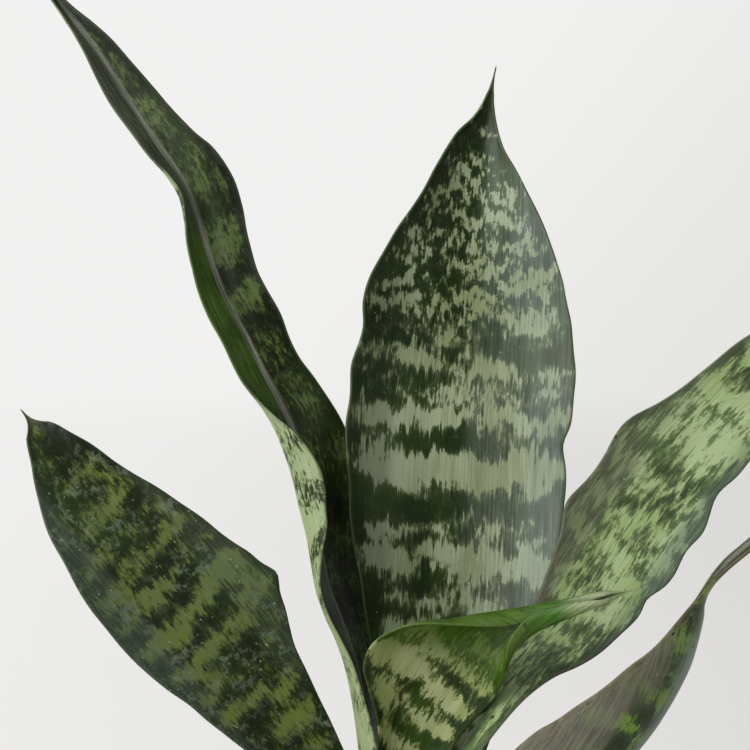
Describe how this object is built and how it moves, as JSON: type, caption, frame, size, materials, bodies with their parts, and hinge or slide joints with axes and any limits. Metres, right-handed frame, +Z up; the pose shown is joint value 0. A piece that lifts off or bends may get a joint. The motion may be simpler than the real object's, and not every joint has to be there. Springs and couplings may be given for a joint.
{
  "type": "potted snake plant",
  "caption": "Broad-leaved snake plant with mottled, wavy, pointed leaves, standing in potting mix in a plain tapered terracotta pot with a rim band.",
  "frame": {"origin": "middle of the pot's flat underside", "axes": "+Z up out of the pot; -Y is the side the plant is looked at from, where the centre leaf shows its upper face; +X is that viewer's right"},
  "size_m": [0.3238, 0.144, 0.4203],
  "materials": {
    "leaf": "satin",
    "scale_leaf": "matte",
    "rhizome": "matte",
    "soil": "matte",
    "terracotta": "matte"
  },
  "bodies": {
    "root": {"pot": "terracotta", "soil": "soil", "rhizome": "rhizome", "leaf_centre": "leaf", "leaf_low_left": "leaf", "leaf_tall_left": "leaf", "leaf_right": "leaf", "leaf_low_right": "leaf", "leaf_young": "leaf", "scale_leaf_back": "scale_leaf", "scale_leaf_left": "scale_leaf", "scale_leaf_front": "scale_leaf"}
  },
  "joints": []
}
